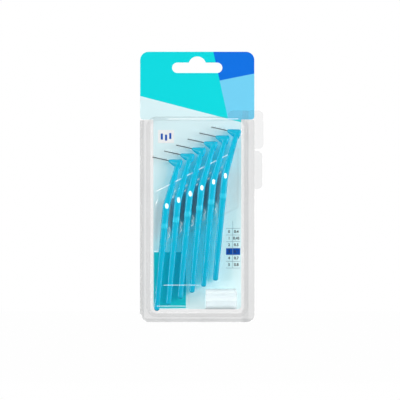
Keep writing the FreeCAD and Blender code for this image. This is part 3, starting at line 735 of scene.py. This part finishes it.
def figure_mesh(text, place):
    """A number as a thin closed solid that faces the front."""
    curve = bpy.data.curves.new("figure", "FONT")
    curve.body = text
    curve.align_x = "CENTER"
    curve.align_y = "CENTER"
    curve.size = FIGURE_SIZE * MM
    curve.offset = FIGURE_BOLD * MM
    curve.extrude = FIGURE_THICK * MM
    holder = bpy.data.objects.new("figure", curve)
    bpy.context.collection.objects.link(holder)
    mesh = bpy.data.meshes.new_from_object(holder.evaluated_get(bpy.context.evaluated_depsgraph_get()))
    bpy.data.objects.remove(holder)
    mesh.transform(Matrix.Translation(Vector(place) * MM) @ Matrix.Rotation(math.pi / 2, 4, "X"))
    return mesh


figures = []
for row, texts in enumerate(SIZE_ROWS):
    level = TABLE[3] - (row + 0.5) * row_height
    for text, column in zip(texts, (FIRST_COLUMN, SECOND_COLUMN)):
        figures.append(figure_mesh(text, (column, FIGURE_FACE, level)))
numbers = bpy.data.objects.new("size_numbers", gather("size_numbers", figures))
numbers.data.materials.append(black_ink)
bpy.context.collection.objects.link(numbers)
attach(numbers, "card")
print("numbers:", len(figures))

# %% [markdown]
# ## Finishes on the solids that stay
# Flat carton, thin formed sheet and a plain cap could be made again as finer meshes, but they
# have no soft curves that would gain by it. Their solids stay, and take on the materials above.

# %% Give the CAD nodes that stay their finishes


def dress(node, material):
    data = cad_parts[node].data
    data.materials.clear()
    data.materials.append(material)


dress("header_card", board)
dress("front_tray", sheet)
dress("back_panel", back_sheet)
dress("protective_cap", cap_plastic)
print("dressed the board, the case and the cap")

# %% [markdown]
# ## White studio, soft boxes and the camera
# The pack hangs by its slot in a white room, over a white floor that is low enough for the case
# to slide off. Two tall soft boxes light it from the sides, which leaves the narrow gaps between
# the handles deep in tone, and a small bright lamp puts the sparkle on the polished plastic. The
# camera looks straight at the front.

# %% The room and the floor
scene = bpy.context.scene
scene.view_settings.view_transform = "Standard"
ROOM_LIGHT = 0.03
GLOSS_SHARE = 0.1


def seen_directly(start):
    """1 for a ray that shows the background itself: straight, in a gloss or through a glass."""
    camera, gloss, glass = [start.node("ShaderNodeLightPath", output=f"Is {kind} Ray")
                            for kind in ("Camera", "Glossy", "Transmission")]
    return camera.highest(glass).highest(gloss * GLOSS_SHARE)


world = bpy.data.worlds.new("white_room")
scene.world = world
world.use_nodes = True
world.node_tree.nodes.clear()
start = Shade(world.node_tree)
room = start.node("ShaderNodeMixShader", sockets={
    0: seen_directly(start),
    1: start.node("ShaderNodeBackground", sockets={"Color": (1, 1, 1, 1), "Strength": ROOM_LIGHT}),
    2: start.node("ShaderNodeBackground", sockets={"Color": (1, 1, 1, 1), "Strength": 1.0})})
start.node("ShaderNodeOutputWorld", sockets={"Surface": room})

FLOOR_TONE = paint(150, 150, 150)
FLOOR_GLOW = 0.992
floor_white, start = start_material("floor_white")
paper = start.node("ShaderNodeBsdfPrincipled", sockets={
    "Base Color": grain(start, 40).mix(FLOOR_TONE, paint(140, 140, 140)),
    "Roughness": 0.9})
glow = start.node("ShaderNodeEmission", sockets={"Color": (1, 1, 1, 1), "Strength": 1.0})
end_material(start, start.node("ShaderNodeMixShader", sockets={
    0: seen_directly(start) * FLOOR_GLOW, 1: paper, 2: glow}))

FLOOR_HALF = 3.0
FLOOR_DROP = 0.135
floor_level = cad_box[0][2] - FLOOR_DROP
shape = bmesh.new()
corners = [shape.verts.new((sx * FLOOR_HALF, sy * FLOOR_HALF, floor_level))
           for sx, sy in ((-1, -1), (1, -1), (1, 1), (-1, 1))]
shape.faces.new(corners)
floor_mesh = bpy.data.meshes.new("floor")
shape.to_mesh(floor_mesh)
shape.free()
floor_mesh.materials.append(floor_white)
floor = bpy.data.objects.new("floor", floor_mesh)
bpy.context.collection.objects.link(floor)

# %% Lamps and the camera
VIEW_CENTRE = Vector((1.753 * MM, 0, -84.31 * MM))
VIEW_WIDTH = 255 * MM
VIEW_DISTANCE = 1.5
FILM = 36.0


def soft_box(name, azimuth, elevation, distance, width, height, brightness):
    """An area lamp that faces the pack. Brightness is what its face shows, 1 being white."""
    lamp = bpy.data.lights.new(name, "AREA")
    lamp.shape = "RECTANGLE"
    lamp.size = width
    lamp.size_y = height
    lamp.energy = brightness * math.pi * width * height
    holder = bpy.data.objects.new(name, lamp)
    bpy.context.collection.objects.link(holder)
    turn, lift = math.radians(azimuth), math.radians(elevation)
    way = Vector((math.sin(turn) * math.cos(lift), -math.cos(turn) * math.cos(lift), math.sin(lift)))
    holder.location = VIEW_CENTRE + way * distance
    holder.rotation_euler = (-way).to_track_quat("-Z", "Y").to_euler()


soft_box("left_box", -58, 3, 1.0, 0.5, 0.9, 6.7)
soft_box("right_box", 58, 3, 1.0, 0.5, 0.9, 6.5)
soft_box("high_box", -8, 76, 1.0, 0.8, 0.5, 0.9)
soft_box("back_box", 180, 14, 1.2, 0.9, 0.9, 5.5)
soft_box("sparkle", 32, 10, 1.1, 0.24, 0.24, 16)

camera_data = bpy.data.cameras.new("camera")
camera_data.sensor_width = FILM
camera_data.lens = FILM * VIEW_DISTANCE / VIEW_WIDTH
camera = bpy.data.objects.new("camera", camera_data)
bpy.context.collection.objects.link(camera)
camera.location = VIEW_CENTRE + Vector((0, -VIEW_DISTANCE, 0))
camera.rotation_euler = (math.pi / 2, 0, 0)
scene.camera = camera
print("camera at", VIEW_DISTANCE, "m, lens", round(camera_data.lens, 1), "mm")
